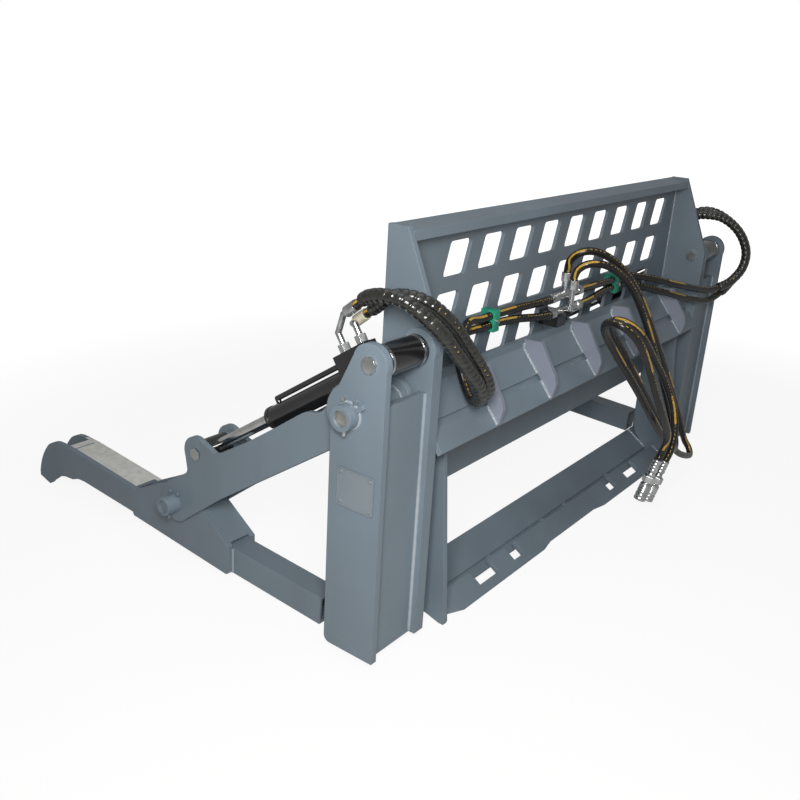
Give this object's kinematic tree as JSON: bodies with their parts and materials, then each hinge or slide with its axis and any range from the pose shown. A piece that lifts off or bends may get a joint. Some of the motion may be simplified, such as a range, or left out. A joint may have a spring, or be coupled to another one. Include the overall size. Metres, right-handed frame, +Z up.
{
  "type": "pallet fork grapple",
  "caption": "Grapple for a compact loader's pallet forks: a headboard frame with a quick-attach coupling and hydraulic arms whose hinged feet press down on the load.",
  "frame": {"origin": "on the floor, under the middle of the coupling's bottom plate, in the plane of the columns' rear edges", "axes": "+X across the frame to the right column as seen from the loader, +Y forward to the arms and feet, +Z up"},
  "size_m": [1.652, 1.361, 0.812],
  "materials": {
    "frame_paint": "satin blue-grey paint",
    "cylinder_black": "gloss black paint",
    "chrome_rod": "polished hard chrome",
    "zinc_plating": "satin zinc plating",
    "bright_steel": "turned steel",
    "hose_rubber": "matt black rubber cover",
    "guard_plastic": "black spiral guard",
    "clamp_plastic": "matt green",
    "blank_plate": "bare, matt"
  },
  "bodies": {
    "frame": {"left_column_outer_plate": "frame_paint", "left_column_inner_plate": "frame_paint", "left_column_back_plate": "frame_paint", "right_column_outer_plate": "frame_paint", "right_column_inner_plate": "frame_paint", "right_column_back_plate": "frame_paint", "left_side_plate": "frame_paint", "right_side_plate": "frame_paint", "top_rail": "frame_paint", "grille": "frame_paint", "upper_lip": "frame_paint", "lip_lower_plate": "frame_paint", "lip_gussets": "frame_paint", "upper_rail": "frame_paint", "lower_rail": "frame_paint", "bottom_plate": "frame_paint", "end_plates": "frame_paint", "nameplate": "blank_plate", "left_arm_pin": "bright_steel", "right_arm_pin": "bright_steel", "left_cylinder_pin": "zinc_plating", "right_cylinder_pin": "zinc_plating", "pin_keepers": "frame_paint", "hose_clamps": "clamp_plastic", "hose_tees": "zinc_plating", "left_hoses": "hose_rubber", "left_hose_guards": "guard_plastic", "right_hoses": "hose_rubber", "right_hose_guards": "guard_plastic", "supply_hose_a": "hose_rubber", "supply_hose_b": "hose_rubber", "coupler_a": "zinc_plating", "coupler_b": "zinc_plating"},
    "left_arm": {"left_arm_outer_plate": "frame_paint", "left_arm_inner_plate": "frame_paint", "left_arm_web": "frame_paint", "left_rod_pin": "zinc_plating", "left_foot_pin": "bright_steel"},
    "left_foot": {"left_foot_outer_plate": "frame_paint", "left_foot_inner_plate": "frame_paint", "left_foot_tube": "frame_paint", "left_foot_deck": "frame_paint"},
    "left_cylinder": {"left_barrel": "cylinder_black", "left_gland": "cylinder_black", "left_port_fittings": "zinc_plating"},
    "left_piston_rod": {"left_rod": "chrome_rod"},
    "right_arm": {"right_arm_outer_plate": "frame_paint", "right_arm_inner_plate": "frame_paint", "right_arm_web": "frame_paint", "right_rod_pin": "zinc_plating", "right_foot_pin": "bright_steel"},
    "right_foot": {"right_foot_outer_plate": "frame_paint", "right_foot_inner_plate": "frame_paint", "right_foot_tube": "frame_paint", "right_foot_deck": "frame_paint"},
    "right_cylinder": {"right_barrel": "cylinder_black", "right_gland": "cylinder_black", "right_port_fittings": "zinc_plating"},
    "right_piston_rod": {"right_rod": "chrome_rod"}
  },
  "joints": [
    {"name": "left_arm_hinge", "type": "hinge", "parent": "frame", "child": "left_arm", "pos_m": [-0.725, 0.076, 0.501], "axis": [1, 0, 0], "range_deg": [0, 45]},
    {"name": "left_foot_hinge", "type": "hinge", "parent": "left_arm", "child": "left_foot", "pos_m": [-0.725, 0.589, 0.139], "axis": [1, 0, 0], "range_deg": [-10, 20]},
    {"name": "left_cylinder_hinge", "type": "hinge", "parent": "frame", "child": "left_cylinder", "pos_m": [-0.725, 0.036, 0.603], "axis": [1, 0, 0], "range_deg": [0, 40], "deforming": ["left_hoses", "left_hose_guards"]},
    {"name": "left_rod_slide", "type": "slide", "parent": "left_cylinder", "child": "left_piston_rod", "axis": [0, 0.828, -0.5607], "range_m": [-0.068, 0]},
    {"name": "right_arm_hinge", "type": "hinge", "parent": "frame", "child": "right_arm", "pos_m": [0.725, 0.076, 0.501], "axis": [1, 0, 0], "range_deg": [0, 45]},
    {"name": "right_foot_hinge", "type": "hinge", "parent": "right_arm", "child": "right_foot", "pos_m": [0.725, 0.589, 0.139], "axis": [1, 0, 0], "range_deg": [-10, 20]},
    {"name": "right_cylinder_hinge", "type": "hinge", "parent": "frame", "child": "right_cylinder", "pos_m": [0.725, 0.036, 0.603], "axis": [1, 0, 0], "range_deg": [0, 40], "deforming": ["right_hoses", "right_hose_guards"]},
    {"name": "right_rod_slide", "type": "slide", "parent": "right_cylinder", "child": "right_piston_rod", "axis": [0, 0.828, -0.5607], "range_m": [-0.068, 0]}
  ],
  "couplings": [
    {"joint": "left_cylinder_hinge", "follows": "left_arm_hinge", "ratio": 0.876},
    {"joint": "left_rod_slide", "follows": "left_arm_hinge", "m_per_rad": -0.08365},
    {"joint": "right_cylinder_hinge", "follows": "right_arm_hinge", "ratio": 0.876},
    {"joint": "right_rod_slide", "follows": "right_arm_hinge", "m_per_rad": -0.08365}
  ]
}
